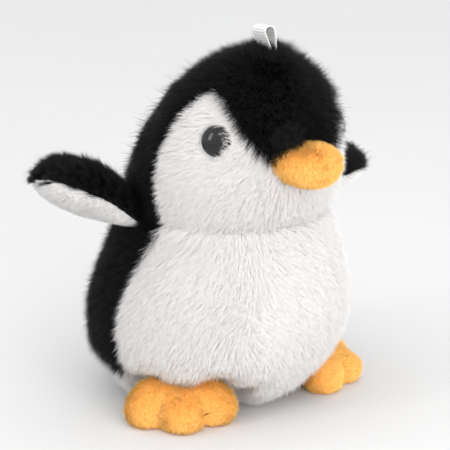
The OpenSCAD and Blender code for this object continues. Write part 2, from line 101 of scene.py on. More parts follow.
# ---- materials -----------------------------------------------------------------
def new_material(name):
    m = bpy.data.materials.new(name)
    m.use_nodes = True
    nt = m.node_tree
    bsdf = next(n for n in nt.nodes if n.type == "BSDF_PRINCIPLED")
    return m, nt, bsdf


def add_node(nt, kind, **kw):
    n = nt.nodes.new(kind)
    for k, v in kw.items():
        setattr(n, k, v)
    return n


def ramp(nt, fac, stops):
    r = add_node(nt, "ShaderNodeValToRGB")
    e = r.color_ramp.elements
    e[0].position, e[0].color = stops[0][0], (*stops[0][1], 1)
    e[1].position, e[1].color = stops[-1][0], (*stops[-1][1], 1)
    for p, c in stops[1:-1]:
        e.new(p).color = (*c, 1)
    nt.links.new(fac, r.inputs["Fac"])
    return r.outputs["Color"]


def noise(nt, scale, detail=3.0, stretch=(1, 1, 1)):
    tc = add_node(nt, "ShaderNodeTexCoord")
    mp = add_node(nt, "ShaderNodeMapping")
    mp.inputs["Scale"].default_value = stretch
    n = add_node(nt, "ShaderNodeTexNoise")
    n.inputs["Scale"].default_value = scale
    n.inputs["Detail"].default_value = detail
    n.inputs["Roughness"].default_value = 0.55
    nt.links.new(tc.outputs["Object"], mp.inputs["Vector"])
    nt.links.new(mp.outputs["Vector"], n.inputs["Vector"])
    return n.outputs["Fac"]


def bump(nt, bsdf, height, strength, distance):
    b = add_node(nt, "ShaderNodeBump")
    b.inputs["Strength"].default_value = strength
    b.inputs["Distance"].default_value = distance
    nt.links.new(height, b.inputs["Height"])
    nt.links.new(b.outputs["Normal"], bsdf.inputs["Normal"])


def fur_material(name, root, tip, rough, sheen, spec, var):
    """Strand colour from root to tip, darker at the root as painted shade deep in the pile, with a different
    shade on each strand.
    """
    m, nt, b = new_material(name)
    along = add_node(nt, "ShaderNodeAttribute", attribute_name="along")
    shade = add_node(nt, "ShaderNodeAttribute", attribute_name="shade")
    middle = tuple((a + c * 2) / 3 for a, c in zip(root, tip))
    colour = ramp(nt, along.outputs["Fac"], [(0.0, root), (0.5, middle), (1.0, tip)])
    mr = add_node(nt, "ShaderNodeMapRange")
    mr.inputs["To Min"].default_value = 1.0 - var
    mr.inputs["To Max"].default_value = 1.0 + var * 0.6
    nt.links.new(shade.outputs["Fac"], mr.inputs["Value"])
    mul = add_node(nt, "ShaderNodeVectorMath", operation="SCALE")
    nt.links.new(colour, mul.inputs[0])
    nt.links.new(mr.outputs["Result"], mul.inputs["Scale"])
    nt.links.new(mul.outputs["Vector"], b.inputs["Base Color"])
    b.inputs["Roughness"].default_value = rough
    b.inputs["Specular IOR Level"].default_value = spec
    b.inputs["Sheen Weight"].default_value = sheen
    b.inputs["Sheen Roughness"].default_value = 0.5
    b.inputs["Sheen Tint"].default_value = (*tip, 1)
    return m


def cloth_material(name, dark, light, scale, rough=0.9, relief=0.25, sheen=0.1):
    """Knitted backing in the pile's colour, seen between the strands."""
    m, nt, b = new_material(name)
    colour = ramp(nt, noise(nt, scale, 4.0), [(0.3, dark), (0.7, light)])
    nt.links.new(colour, b.inputs["Base Color"])
    bump(nt, b, noise(nt, scale * 4, 2.0), relief, 0.0004)
    b.inputs["Roughness"].default_value = rough
    b.inputs["Sheen Weight"].default_value = sheen
    return m


def eye_material():
    m, nt, b = new_material("eye_plastic")
    colour = ramp(nt, noise(nt, 420, 2.0), [(0.35, (0.004, 0.004, 0.004)), (0.7, (0.008, 0.008, 0.008))])
    nt.links.new(colour, b.inputs["Base Color"])
    b.inputs["Roughness"].default_value = 0.12
    b.inputs["Specular IOR Level"].default_value = 0.4
    return m


def ribbon_material():
    """Off-white tape with painted shade: grey in the grooves between its ribs, lighter on their tops."""
    m, nt, b = new_material("ribbon_tape")
    rib = add_node(nt, "ShaderNodeAttribute", attribute_name="rib")
    groove, side, top = (0.2, 0.2, 0.205), (0.5, 0.495, 0.485), (0.66, 0.655, 0.645)
    colour = ramp(nt, rib.outputs["Fac"], [(0.0, groove), (0.45, side), (1.0, top)])
    nt.links.new(colour, b.inputs["Base Color"])
    bump(nt, b, noise(nt, 2600, 2.0, stretch=(1, 6, 1)), 0.3, 0.0002)
    b.inputs["Roughness"].default_value = 0.75
    b.inputs["Sheen Weight"].default_value = 0.25
    return m


# each pile's first colour is its root and the second its tip: the darker roots are painted shade deep in the
# pile
BLACK = fur_material("black_pile", (0.0008, 0.0008, 0.0012), (0.0035, 0.0035, 0.0048), 0.38, 0.0, 0.15, 0.7)
WHITE = fur_material("white_pile", (0.715, 0.70, 0.69), (0.80, 0.781, 0.769), 0.85, 0.15, 0.1, 0.05)
# a darker copy of the white pile, painted shade for the eyelid strands, which stand up and catch more light
# than the lying pile round them
SHADED_LID = fur_material("lid_pile", (0.60, 0.585, 0.575), (0.71, 0.693, 0.682), 0.9, 0.0, 0.05, 0.1)
GREY = fur_material("grey_pile", (0.70, 0.69, 0.68), (0.84, 0.83, 0.82), 0.85, 0.1, 0.1, 0.06)
ORANGE = fur_material("orange_pile", (1.0, 0.34, 0.04), (1.0, 0.60, 0.18), 0.85, 0.5, 0.05, 0.13)
BLACK_CLOTH = cloth_material("black_backing", (0.001, 0.001, 0.0012), (0.002, 0.002, 0.0025), 900, sheen=0.0)
WHITE_CLOTH = cloth_material("white_backing", (0.70, 0.69, 0.68), (0.77, 0.76, 0.75), 900)
GREY_CLOTH = cloth_material("grey_backing", (0.60, 0.59, 0.58), (0.74, 0.73, 0.72), 900)
ORANGE_CLOTH = cloth_material("orange_backing", (1.0, 0.36, 0.05), (1.0, 0.45, 0.09), 900)
FILL = cloth_material("fibre_filling", (0.72, 0.72, 0.70), (0.88, 0.88, 0.86), 260, 0.95, 0.8)
WASHER = cloth_material("washer_plastic", (0.6, 0.6, 0.58), (0.72, 0.72, 0.70), 300, 0.5, 0.1, 0.0)
EYE = eye_material()
RIBBON = ribbon_material()


# ---- shapes taken from the frame -------------------------------------------------
WELD = 2e-6
HEAD_MIDDLE = vec(0, -15, 88)
# the plush's middle line: heights in mm, and its y in mm at each
CORE_HEIGHTS = [0, 12, 34, 64, 82, 95, 120]
CORE_Y = [0, -5, -9, -15, -19, -22, -23]
CORE_LOWEST, CORE_HIGHEST = 30, 95
FOOT_CORE_HEIGHT = 5
BEAK_CORE_DEPTH = 1.2


def arrays(name):
    """A node's welded vertices and triangles."""
    me = NODES[name].data
    co = np.empty(len(me.vertices) * 3)
    me.vertices.foreach_get("co", co)
    co = co.reshape(-1, 3)
    me.calc_loop_triangles()
    tri = np.empty(len(me.loop_triangles) * 3, np.int64)
    me.loop_triangles.foreach_get("vertices", tri)
    cell = np.round(co / WELD).astype(np.int64)
    _, first, inv = np.unique(cell, axis=0, return_index=True, return_inverse=True)
    co, tri = co[first], inv.reshape(-1)[tri.reshape(-1, 3)]
    ok = (tri[:, 0] != tri[:, 1]) & (tri[:, 1] != tri[:, 2]) & (tri[:, 0] != tri[:, 2])
    return co, tri[ok]


def face_normals(co, tri):
    return np.cross(co[tri[:, 1]] - co[tri[:, 0]], co[tri[:, 2]] - co[tri[:, 0]])


def joint_pos(name):
    return np.array(JOINT[name]["pos_m"], float)


def joint_axis(name):
    return unit(np.array(JOINT[name]["axis"], float))


def body_core(p):
    """The point of the plush's middle line that the fabric at p faces away from."""
    z = p[:, 2] / MM
    y = np.interp(z, CORE_HEIGHTS, CORE_Y)
    return np.stack([np.zeros(len(p)), y * MM, np.clip(z, CORE_LOWEST, CORE_HIGHEST) * MM], -1)


def wing_way(side):
    """A wing's root and the direction from it to the tip."""
    root, axis = joint_pos(f"wing_{side}_flap"), joint_axis(f"wing_{side}_flap")
    way = arrays(f"wing_{side}_stuffing")[0].mean(0) - root
    return root, unit(way - axis * (way @ axis))


def wing_core(side):
    root, way = wing_way(side)
    return lambda p: root + np.outer((p - root) @ way, way)


def foot_core(side):
    c = arrays(f"foot_{side}_stuffing")[0].mean(0)
    c[2] = FOOT_CORE_HEIGHT * MM
    return lambda p: np.broadcast_to(c, p.shape)


def beak_core(p):
    lo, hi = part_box("beak_upper")
    return np.broadcast_to(np.array([0.0, hi[1] - BEAK_CORE_DEPTH * MM, lo[2]]), p.shape)


def core_of(src):
    """The function that gives the middle which a panel's outer side faces away from."""
    if src.startswith("wing"):
        return wing_core(src.split("_")[1])
    if src.startswith("foot"):
        return foot_core(src.split("_")[1])
    return beak_core if src.startswith("beak") else body_core


def outer_part(name, cut):
    """The outer surface of a panel: its vertices, triangles and smooth normals."""
    co, tri = arrays(name)
    fn = face_normals(co, tri)
    mid = co[tri].mean(1)
    keep = dots(unit(fn), unit(mid - core_of(name)(mid)))[:, 0] > cut
    tri, fn = tri[keep], fn[keep]
    vn = np.zeros_like(co)
    for k in range(3):
        np.add.at(vn, tri[:, k], fn)
    return co, tri, unit(vn)


def scatter(co, tri, vn, count, seed):
    """Points spread evenly over the triangles, in a shuffled order, with normals."""
    r = np.random.default_rng(seed)
    area = np.linalg.norm(face_normals(co, tri), axis=1) * 0.5
    edges = np.cumsum(area) / area.sum()
    pick = np.searchsorted(edges, (np.arange(count) + r.random(count)) / count)
    pick = np.minimum(pick, len(tri) - 1)
    a, b = r.random(count), r.random(count)
    over = a + b > 1
    a[over], b[over] = 1 - a[over], 1 - b[over]
    w = np.stack([1 - a - b, a, b], -1)[..., None]
    order = r.permutation(count)
    return (co[tri[pick]] * w).sum(1)[order], unit((vn[tri[pick]] * w).sum(1))[order]


# ---- strands ---------------------------------------------------------------------
def tufts(p, size, r):
    """Number of the tuft that each point belongs to."""
    cell = np.floor((p + r.random(3) * size) / size).astype(np.int64)
    return np.unique(cell, axis=0, return_inverse=True)[1].reshape(-1)


def tuft_mean(inv, v):
    """For each point, the mean of v over its tuft."""
    n = np.bincount(inv)[:, None]
    return (np.stack([np.bincount(inv, v[:, i]) for i in range(3)], -1) / n)[inv]


STRAND_WIDTH = 0.13 * MM
LEAST_HEIGHT = 0.00005
SHORTEST, LENGTH_SPREAD = 0.72, 0.42
NARROWEST, WIDTH_SPREAD = 0.75, 0.5
MIDDLE_WIDTH = 0.8
RIDGE = 0.4
EDGE_TURN = 0.6
ROOT_STAND, ROOT_LIE = 0.35, 0.5
TIP_STAND, TIP_SWAY = 0.6, 1.2
TUFTS_ACROSS_PATCH = 3.1
TUFT_SWAY, PATCH_SWAY, OWN_SWAY = 0.5, 0.35, 0.7
MIDDLE_PULL = 0.4
ROLL = 0.5
OWN_SHADE, TUFT_SHADE = 0.22, 0.12
GLOW_WAY = np.array([-0.25, -0.6, 0.75])


def triangle_mesh(name, verts, faces):
    """A smooth-shaded mesh set from whole arrays, which is quick for many strands."""
    me = bpy.data.meshes.new(name)
    me.vertices.add(len(verts))
    me.vertices.foreach_set("co", verts.reshape(-1).astype(np.float32))
    me.loops.add(len(faces) * 3)
    me.loops.foreach_set("vertex_index", faces.reshape(-1).astype(np.int32))
    me.polygons.add(len(faces))
    me.polygons.foreach_set("loop_start", np.arange(0, len(faces) * 3, 3, dtype=np.int32))
    me.polygons.foreach_set("loop_total", np.full(len(faces), 3, np.int32))
    me.update(calc_edges=True)
    shade_smooth(me)
    return me


def shade_smooth(me):
    me.polygons.foreach_set("use_smooth", np.ones(len(me.polygons), bool))


def point_values(me, name, values):
    """Give each vertex a value that the materials read."""
    at = me.attributes.new(name, "FLOAT", "POINT")
    at.data.foreach_set("value", np.asarray(values, np.float32))


def strand_mesh(name, root, normal, flow, length, seed, rise, jitter, tuft, pull,
                mass=1.0, soft=0.0, glow=0.0):
    """Closed tapered strands with a low ridged section. flow is the way the pile lies, rise how
    far it stands up from the cloth, jitter how unevenly it lies, tuft the size in mm of the tufts
    that its tips are gathered into and pull how far they are, mass how much neighbours wander
    together, soft turns their normals towards the panel's own, and glow turns those up and
    forwards, so that a thin pile stays bright at its rims."""
    r = np.random.default_rng(seed)
    n = len(root)
    flow = np.broadcast_to(flow, normal.shape)
    lie = unit(flow - normal * dots(flow, normal))
    tuft_of = tufts(root, tuft * MM, r)
    tuft_way = r.normal(size=(tuft_of.max() + 1, 3))[tuft_of]
    patch_of = tufts(root, tuft * TUFTS_ACROSS_PATCH * MM, r)
    patch = r.normal(size=(patch_of.max() + 1, 3))[patch_of]
    wander = (tuft_way * TUFT_SWAY + patch * PATCH_SWAY) * mass + r.normal(size=(n, 3)) * OWN_SWAY
    stand = np.broadcast_to(rise, (n,))[:, None]
    # a strand sets out along d0 and turns evenly towards d1
    d0 = unit(normal * (ROOT_STAND + stand) + lie * ROOT_LIE + wander * jitter)
    d1 = unit(normal * stand * TIP_STAND + lie + wander * jitter * TIP_SWAY)
    far = (length * (SHORTEST + LENGTH_SPREAD * r.random(n)))[:, None]
    mid = root + (d0 * 0.375 + d1 * 0.125) * far
    tip = root + (d0 + d1) * 0.5 * far
    mid += (tuft_mean(tuft_of, mid) - mid) * pull * MIDDLE_PULL
    tip += (tuft_mean(tuft_of, tip) - tip) * pull
    half = (STRAND_WIDTH * (NARROWEST + WIDTH_SPREAD * r.random(n)))[:, None] * 0.5
    roll = r.normal(size=(n, 1)) * ROLL
    rings, norms = [], []
    for c, ahead, w in ((root, mid, half), (mid, tip, half * MIDDLE_WIDTH)):
        ax = unit(ahead - c)
        side = unit(np.cross(normal, ax))
        up = np.cross(ax, side)
        side, up = side * np.cos(roll) + up * np.sin(roll), up * np.cos(roll) - side * np.sin(roll)
        rings += [c - side * w, c + side * w, c + up * w * 2 * RIDGE]
        norms += [unit(up - side * EDGE_TURN), unit(up + side * EDGE_TURN), up]
    verts = np.stack(rings + [tip], 1)
    verts[..., 2] = np.maximum(verts[..., 2], LEAST_HEIGHT)
    per = verts.shape[1]
    tris = [(2, 1, 0)]
    for s in range(3):
        t = (s + 1) % 3
        tris += [(s, t, t + 3), (s, t + 3, s + 3), (s + 3, t + 3, per - 1)]
    faces = (np.array(tris)[None] + (np.arange(n) * per)[:, None, None]).reshape(-1, 3)
    me = triangle_mesh(name, verts.reshape(-1, 3), faces)
    point_values(me, "along", np.tile([0, 0, 0, 0.5, 0.5, 0.5, 1], n))
    shade = np.clip(0.5 + OWN_SHADE * r.normal(size=n) + TUFT_SHADE * tuft_way[:, 0], 0, 1)
    point_values(me, "shade", np.repeat(shade, per))
    if soft:
        own = np.stack(norms + [norms[-1]], 1)
        even = unit(normal + GLOW_WAY * glow)
        blended = unit(own * (1 - soft) + even[:, None, :] * soft)
        me.normals_split_custom_set_from_vertices(blended.reshape(-1, 3).astype(np.float32))
    return me


def add_piece(name, me, mat, body):
    o = bpy.data.objects.new(name, me)
    scene.collection.objects.link(o)
    me.materials.append(mat)
    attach(o, body)
    return o


FLAT_ANGLE = 0.0005
RIM_ANGLE = 0.9


def skin_piece(name, src, mat, body, level=1):
    """The panel itself, smoothed, with its rims kept sharp."""
    co, tri = arrays(src)
    me = bpy.data.meshes.new(name)
    me.from_pydata(co.tolist(), [], tri.tolist())
    me.update()
    bm = bmesh.new()
    bm.from_mesh(me)
    bmesh.ops.dissolve_limit(bm, angle_limit=FLAT_ANGLE, verts=bm.verts, edges=bm.edges)
    bmesh.ops.join_triangles(bm, faces=bm.faces, angle_face_threshold=0.7, angle_shape_threshold=0.9)
    crease = bm.edges.layers.float.get("crease_edge") or bm.edges.layers.float.new("crease_edge")
    for e in bm.edges:
        if len(e.link_faces) == 2 and e.calc_face_angle(0.0) > RIM_ANGLE:
            e[crease] = 1.0
    bm.to_mesh(me)
    bm.free()
    shade_smooth(me)
    o = add_piece(name, me, mat, body)
    if level:
        s = o.modifiers.new("smooth", "SUBSURF")
        s.levels = s.render_levels = level
    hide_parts(src)
    return o


PILE_ROOT_MM = 0.25
STRAY_ROOT_MM = 0.2
STRAY_CUT = 0.2
STRAY_MARGIN_MM = 3
STRAY_SPARE = 4


def fur_piece(name, src, flow, mat, body, slot, seed, per_mm2, length, rise,
              cut=0.3, keep=None, lens=None, **kw):
    """The pile of one panel, in as many pieces as its number of strands needs. rise is a number
    or a function of the roots, and lens one that makes the length longer or shorter there."""
    co, tri, vn = outer_part(src, cut)
    area = np.linalg.norm(face_normals(co, tri), axis=1).sum() * 0.5 / MM ** 2
    p, n = scatter(co, tri, vn, int(area * per_mm2), seed)
    if keep is not None:
        ok = keep(p)
        p, n = p[ok], n[ok]
    lengths = length * MM * (lens(p) if lens else np.ones(len(p)))
    rises = rise(p) if callable(rise) else np.full(len(p), float(rise))
    parts = math.ceil(len(p) / MOST_STRANDS)
    for k in range(parts):
        sl = slice(k, None, parts)
        label = f"{name}_{k + 1}" if parts > 1 else name
        me = strand_mesh(label, p[sl] - n[sl] * PILE_ROOT_MM * MM, n[sl], flow(p[sl]), lengths[sl],
                         seed + 1 + k, rises[sl], **kw)
        add_piece(label, me, mat, body)
        print(f"{label}: {len(p[sl])} strands, {area:.0f} mm2, {len(me.polygons)} faces")


def stray_piece(name, src, flow, mat, body, slot, count, length, seed, where, rise,
                jitter=0.45, tuft=2.2, pull=0.45, soft=0.0):
    """Long loose strands over part of a panel. length is a number of mm or a function of the
    roots. where says of each point whether it is in that part, made wider by a margin in mm."""
    co, tri, vn = outer_part(src, STRAY_CUT)
    wide = tri[where(co[tri].mean(1), STRAY_MARGIN_MM)]
    p, n = scatter(co, wide, vn, count * STRAY_SPARE, seed)
    ok = np.nonzero(where(p, 0))[0][:count]
    lengths = (length(p[ok]) if callable(length) else np.full(len(ok), length)) * MM
    me = strand_mesh(name, p[ok] - n[ok] * STRAY_ROOT_MM * MM, n[ok], flow(p[ok]), lengths,
                     seed, rise, jitter, tuft, pull, soft=soft)
    add_piece(name, me, mat, body)
    print(f"{name}: {len(ok)} strands")


def black_stray(name, src, flow, count, length, seed, where, rise, body="body", **kw):
    """Loose strands of the black pile."""
    stray_piece(name, src, flow, BLACK, body, "black_plush", count, length, seed, where, rise, **kw)


def above(height):
    """For stray_piece: the part above this height in mm."""
    return lambda p, more: p[:, 2] > (height - more) * MM


def within(centre, radius):
    """For stray_piece: the part within this radius in mm of a centre."""
    return lambda p, more: np.linalg.norm(p - centre, axis=1) < (radius + more) * MM


# ---- eyes ------------------------------------------------------------------------
EYE_BRIM = 0.9


def eye_frame(side):
    """Middle of the eye's flat back, its axis, its radius and the dome's height."""
    co = arrays(f"eye_{side}")[0]
    c = co.mean(0)
    w, v = np.linalg.eigh(np.cov((co - c).T))
    axis = v[:, 2] if w[2] - w[1] > w[1] - w[0] else v[:, 0]
    axis = axis if axis @ (c - HEAD_MIDDLE) > 0 else -axis
    high = (co - c) @ axis
    off = np.linalg.norm(co - c - np.outer(high, axis), axis=1)
    radius = off.max()
    seat = high[off > radius * EYE_BRIM].min()
    return c + axis * seat, axis, radius, high.max() - seat, high.min() - seat


def lathe(name, profile, centre, axis, steps=56):
    """A closed solid turned about an axis, from [radius, height] pairs that start and end on it."""
    x = unit(np.cross(axis, [0, 0, 1.0]))
    y = np.cross(axis, x)
    turn = np.arange(steps) * 2 * math.pi / steps
    ring = np.outer(np.cos(turn), x) + np.outer(np.sin(turn), y)
    verts = [centre + axis * profile[0][1]]
    for r, h in profile[1:-1]:
        verts += list(centre + axis * h + ring * r)
    verts.append(centre + axis * profile[-1][1])
    rows, last = len(profile) - 2, len(verts) - 1
    faces = []
    for s in range(steps):
        t = (s + 1) % steps
        faces.append((0, 1 + t, 1 + s))
        for k in range(rows - 1):
            a = 1 + k * steps
            faces.append((a + s, a + t, a + steps + t, a + steps + s))
        faces.append((1 + (rows - 1) * steps + s, 1 + (rows - 1) * steps + t, last))
    me = bpy.data.meshes.new(name)
    me.from_pydata([list(v) for v in verts], [], faces)
    me.update()
    shade_smooth(me)
    return me


STEM_TEETH = 5
DOME_STEPS = 15
BEHIND_FACE_MM = 8
EYE_MARGIN_MM = 0.1
LID_REACH_MM = 1.5
LID_ROUND = 0.3
BEAK_UNDERSIDE = vec(0, -58, 80)


def eye_piece(side):
    """The toothed stem, the dome's rounded rim and the dome, turned in one piece."""
    seat, axis, radius, dome, low = eye_frame(side)
    rim = 0.9 * MM
    stem = 1.6 * MM
    profile = [(0, low), (stem - 0.5 * MM, low), (stem, low + 0.8 * MM)]
    for k in range(STEM_TEETH):
        h = low * (0.8 - 0.16 * k)
        profile += [(stem, h), (stem - 0.25 * MM, h + 0.35 * MM), (stem, h + 0.7 * MM)]
    profile += [(stem, -0.02 * MM), (radius - 0.4 * MM, 0), (radius - 0.1 * MM, 0.1 * MM)]
    profile += [(radius, 0.4 * MM), (radius, rim)]
    for k in range(1, DOME_STEPS):
        a = math.pi / 2 * k / DOME_STEPS
        profile.append((radius * math.cos(a), rim + (dome - rim) * math.sin(a)))
    profile.append((0, dome))
    me = lathe(f"eye_{side}_dome", profile, seat, axis)
    o = add_piece(f"eye_{side}_dome", me, EYE, "body")
    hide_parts(f"eye_{side}")


EYES = {side: eye_frame(side) for side in SIDES}


def beside_eyes(p):
    """True for points that aren't under an eye."""
    ok = np.ones(len(p), bool)
    for seat, axis, radius, _, _ in EYES.values():
        d = p - seat
        off = np.linalg.norm(d - np.outer(d @ axis, axis), axis=1)
        ok &= (off > radius + EYE_MARGIN_MM * MM) | (d @ axis < -BEHIND_FACE_MM * MM)
    return ok


def lid_way(side):
    """The way from an eye to the beak's underside, along the face."""
    seat, axis, *_ = EYES[side]
    way = BEAK_UNDERSIDE - seat
    return unit(way - axis * (way @ axis))


def lid_side(p, side, more):
    """True just outside an eye, on the side towards the beak's underside."""
    seat, axis, radius, _, _ = EYES[side]
    d = p - seat
    d = d - np.outer(d @ axis, axis)
    close = np.linalg.norm(d, axis=1) < radius + (LID_REACH_MM + more) * MM
    return close & (unit(d) @ lid_way(side) > LID_ROUND - more * LID_ROUND)


# ---- how the pile lies on each panel -----------------------------------------------
BEAK = vec(0, -56, 87)
BROW = vec(0, -54, 95)
FRINGE = vec(-6.5, -48, 93.5)
CROWN = vec(0, -26, 108)
CROWN_SIDE = vec(-19, -10, 104)
CHEEK_BACK = vec(-28, -6, 91)
WHORL = vec(-18, -48, 32)
WHORL_REACH_MM = 14
LOOP = np.array(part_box("hanging_loop")).mean(0)
LOOP_FOOT = LOOP * np.array([1, 1, 0]) + vec(0, 0, 1) * (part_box("hanging_loop")[0][2] / MM - 1.5)
BEHIND_LOOP = LOOP_FOOT + vec(5, 3.5, -1)


def near(p, centre, full, none):
    """1 within full mm of the centre, 0 beyond none mm."""
    return 1 - smooth(full, none, np.linalg.norm(p - centre, axis=1) / MM)


def flow_head(p):
    """Back and down from the crown, and forwards over the beak."""
    brow = near(p, BROW, 5, 16)[:, None]
    lie = np.array([0.0, 0.75, -0.75]) + 0.5 * unit(p - CROWN) * np.array([1, 1, 0])
    return lie * (1 - brow) + np.array([0, -0.6, -1.0]) * brow


def hood_lens(p):
    """Shorter on the sides of the crown and behind the cheeks."""
    side = p * np.where(p[:, :1] > 0, [[-1, 1, 1]], [[1, 1, 1]])
    return 1 - 0.2 * near(side, CROWN_SIDE, 8, 18) - 0.32 * near(side, CHEEK_BACK, 9, 18)


def rise_head(p):
    """Stands up round the ribbon, lies down over the beak."""
    return 0.9 + 1.6 * near(p, LOOP - vec(0, 0, 6), 4, 11) - 0.55 * near(p, BROW, 6, 14)


def rise_back(p):
    """Stands up round the wings' seams."""
    return 0.9 + sum(0.9 * near(p, joint_pos(f"wing_{side}_flap"), 8, 15) for side in SIDES)


def flow_face(p):
    """Outwards from the beak, and down."""
    return unit(p - BEAK) * np.array([1.0, 0.8, 1.0]) + np.array([0, 0.25, -0.55])


def flow_back(p):
    """Down, and a little outwards."""
    return np.array([0.0, 0.25, -1.0]) + 0.25 * unit(p * np.array([1, 1, 0]))


def flow_belly(p):
    """Outwards from the whorl and down, turning round the whorl close to it."""
    d = unit(p - WHORL)
    swirl = np.cross(np.tile([0.0, -1.0, 0.0], (len(p), 1)), d)
    close = np.exp(-((np.linalg.norm(p - WHORL, axis=1) / (WHORL_REACH_MM * MM)) ** 2))[:, None]
    return np.array([0, 0, -0.9]) + d * (0.5 + 0.35 * close) + swirl * 0.4 * close


def flow_beak(p):
    """Down, forwards and a little outwards."""
    return np.array([0.0, -0.4, -1.0]) + 0.3 * unit(p * np.array([1, 0, 0]))


def face_lens(p):
    """Longer by the neck, and on the beak's side of each eye, where it lies over the rim."""
    k = 1 + 0.15 * (1 - smooth(64, 70, p[:, 2] / MM))
    for seat, *_ in EYES.values():
        inner = smooth(-0.1, 0.6, dots(unit(p - seat), unit(BEAK - seat))[:, 0])
        k = k + (0.25 * inner - 0.35 * (1 - inner)) * near(p, seat, 5.5, 9)
    return k


# ---- the panels --------------------------------------------------------------------
LONG = dict(per_mm2=13.0, length=7.6, rise=0.95, jitter=0.36, tuft=1.3, pull=0.35)
PALE = dict(per_mm2=13.0, rise=0.35, jitter=0.24, tuft=1.2, pull=0.12, mass=0.45, soft=0.88)
SHORT = dict(per_mm2=20.0, length=1.9, rise=1.0, jitter=0.38, tuft=0.8, pull=0.25, soft=0.8, glow=0.5)
HOOD = (BLACK_CLOTH, BLACK, "black_plush", flow_head, dict(LONG, rise=rise_head, lens=hood_lens))
FACE = (WHITE_CLOTH, WHITE, "white_plush", flow_face,
        dict(PALE, length=4.8, keep=beside_eyes, lens=face_lens))
BACK = (BLACK_CLOTH, BLACK, "black_plush", flow_back, dict(LONG, rise=rise_back))
PANELS = {"hood": HOOD, "face": FACE, "back": BACK}
# where each piece's random numbers start: a pair's two sides lie either side of the number
SEED = dict(hood=100, face=200, back=300, belly=400, base=500, hood_stray=160, back_stray=165,
            loop_tuft=170, crown_tuft=171, lid=180, brow=190, seam=205,
            wing_top=600, wing_stray=650, wing_under=700, foot_top=800, foot_sole=850,
            beak_upper=900, beak_lower=910)
SIDE_STEP = 5
LID_LENGTHS = (0.8, 5.2)

for side, s in SIDES.items():
    step = s * SIDE_STEP
    hood = f"hood_{side}"
    for part, (cloth, pile, slot, flow, how) in PANELS.items():
        src = f"{part}_{side}"
        skin_piece(f"{src}_cloth", src, cloth, "body")
        fur_piece(f"{src}_pile", src, flow, pile, "body", slot, seed=SEED[part] + step, **how)
    eye_piece(side)
    black_stray(f"{hood}_stray", hood, flow_head, 650, 9.2, SEED["hood_stray"] + step,
                above(76), rise=1.2)
    black_stray(f"back_{side}_stray", f"back_{side}", flow_back, 400, 8.8,
                SEED["back_stray"] + step, above(16), rise=1.2)
    black_stray(f"loop_{side}_tuft", hood, lambda p: np.array([-s * 0.5, 0.15, 0.5]), 1100, 7.6,
                SEED["loop_tuft"] + step, within(LOOP_FOOT, 6), rise=1.8, jitter=0.5, tuft=1.5)
    black_stray(f"{hood}_seam", hood, lambda p: flow_head(p) + np.array([-s * 0.9, 0, 0]), 900, 5.0,
                SEED["seam"] + step, lambda p, more: np.abs(p[:, 0]) < (1.6 + more) * MM, rise=0.8)
    seat = EYES[side][0]
    way = lid_way(side)
    stray_piece(f"eye_{side}_lid", f"face_{side}", lambda p: -way, SHADED_LID, "body", "white_plush",
                3200, lambda p: np.clip(((p - seat) @ way / MM - 1.1) / 0.65, *LID_LENGTHS),
                SEED["lid"] + step, lambda p, more: beside_eyes(p) & lid_side(p, side, more),
                rise=0.7, jitter=0.14, tuft=0.5, pull=0.0, soft=0.6)
black_stray("brow_fringe", "hood_right", lambda p: np.array([0.15, 0, -1.0]), 2600, 8.0,
            SEED["brow"], within(FRINGE, 4.8), rise=2.0, jitter=0.3, tuft=1.2, pull=0.3)
black_stray("crown_tuft", "hood_left", lambda p: np.array([0.5, 0.6, 0.3]), 600, 9.0,
            SEED["crown_tuft"], within(BEHIND_LOOP, 4.5), rise=1.5)

skin_piece("belly_cloth", "belly", WHITE_CLOTH, "body")
fur_piece("belly_pile", "belly", flow_belly, WHITE, "body", "white_plush", seed=SEED["belly"],
          length=5.6, lens=lambda p: 1 + 0.2 * smooth(58, 64, p[:, 2] / MM), **PALE)
skin_piece("base_cloth", "base_panel", WHITE_CLOTH, "body")
fur_piece("base_pile", "base_panel", flow_back, WHITE, "body", "white_plush", seed=SEED["base"],
          length=4.6, keep=lambda p: p[:, 2] > 1.2 * MM, **PALE)

for side, s in SIDES.items():
    step = s * SIDE_STEP
    body = f"wing_{side}"
    top, under = f"{body}_top", f"{body}_under"
    hinge, way = wing_way(side)
    reach = ((arrays(top)[0] - hinge) @ way).max()
    wing = dict(LONG, per_mm2=14.0, length=6.4, jitter=0.3, tuft=1.5, pull=0.55,
                rise=lambda p: 0.5 + 0.4 * smooth(0.7, 1, (p - hinge) @ way / reach),
                lens=lambda p: 1 - 0.25 * smooth(0.8, 1, (p - hinge) @ way / reach))
    skin_piece(f"{top}_cloth", top, BLACK_CLOTH, body)
    fur_piece(f"{top}_pile", top, lambda p: way + np.array([0, 0.45, -0.25]), BLACK, body,
              "black_plush", seed=SEED["wing_top"] + step, cut=0.2, **wing)
    black_stray(f"{body}_stray", top, lambda p: way + np.array([0, 0.2, 0.35]), 800, 6.8,
                SEED["wing_stray"] + step, lambda p, more: (p - hinge) @ way > 0.35 * reach - more * MM,
                rise=0.8, body=body, jitter=0.35, tuft=1.3, pull=0.6)
    skin_piece(f"{under}_cloth", under, GREY_CLOTH, body)
    fur_piece(f"{under}_pile", under, lambda p: way + np.array([0, 0.1, -0.25]), GREY, body,
              "grey_minky", seed=SEED["wing_under"] + step, cut=0.2, **SHORT)
    body = f"foot_{side}"
    ahead = np.array(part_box(f"{body}_top")).mean(0) - joint_pos(f"{body}_flex")
    ahead = unit(ahead * np.array([1, 1, 0])) + np.array([0, 0, -0.5])
    for part in ("top", "sole"):
        skin_piece(f"{body}_{part}_cloth", f"{body}_{part}", ORANGE_CLOTH, body)
        fur_piece(f"{body}_{part}_pile", f"{body}_{part}", lambda p: ahead, ORANGE, body,
                  "orange_minky", seed=SEED[f"foot_{part}"] + step, cut=0.15,
                  keep=lambda p: p[:, 2] > 0.6 * MM, **SHORT)

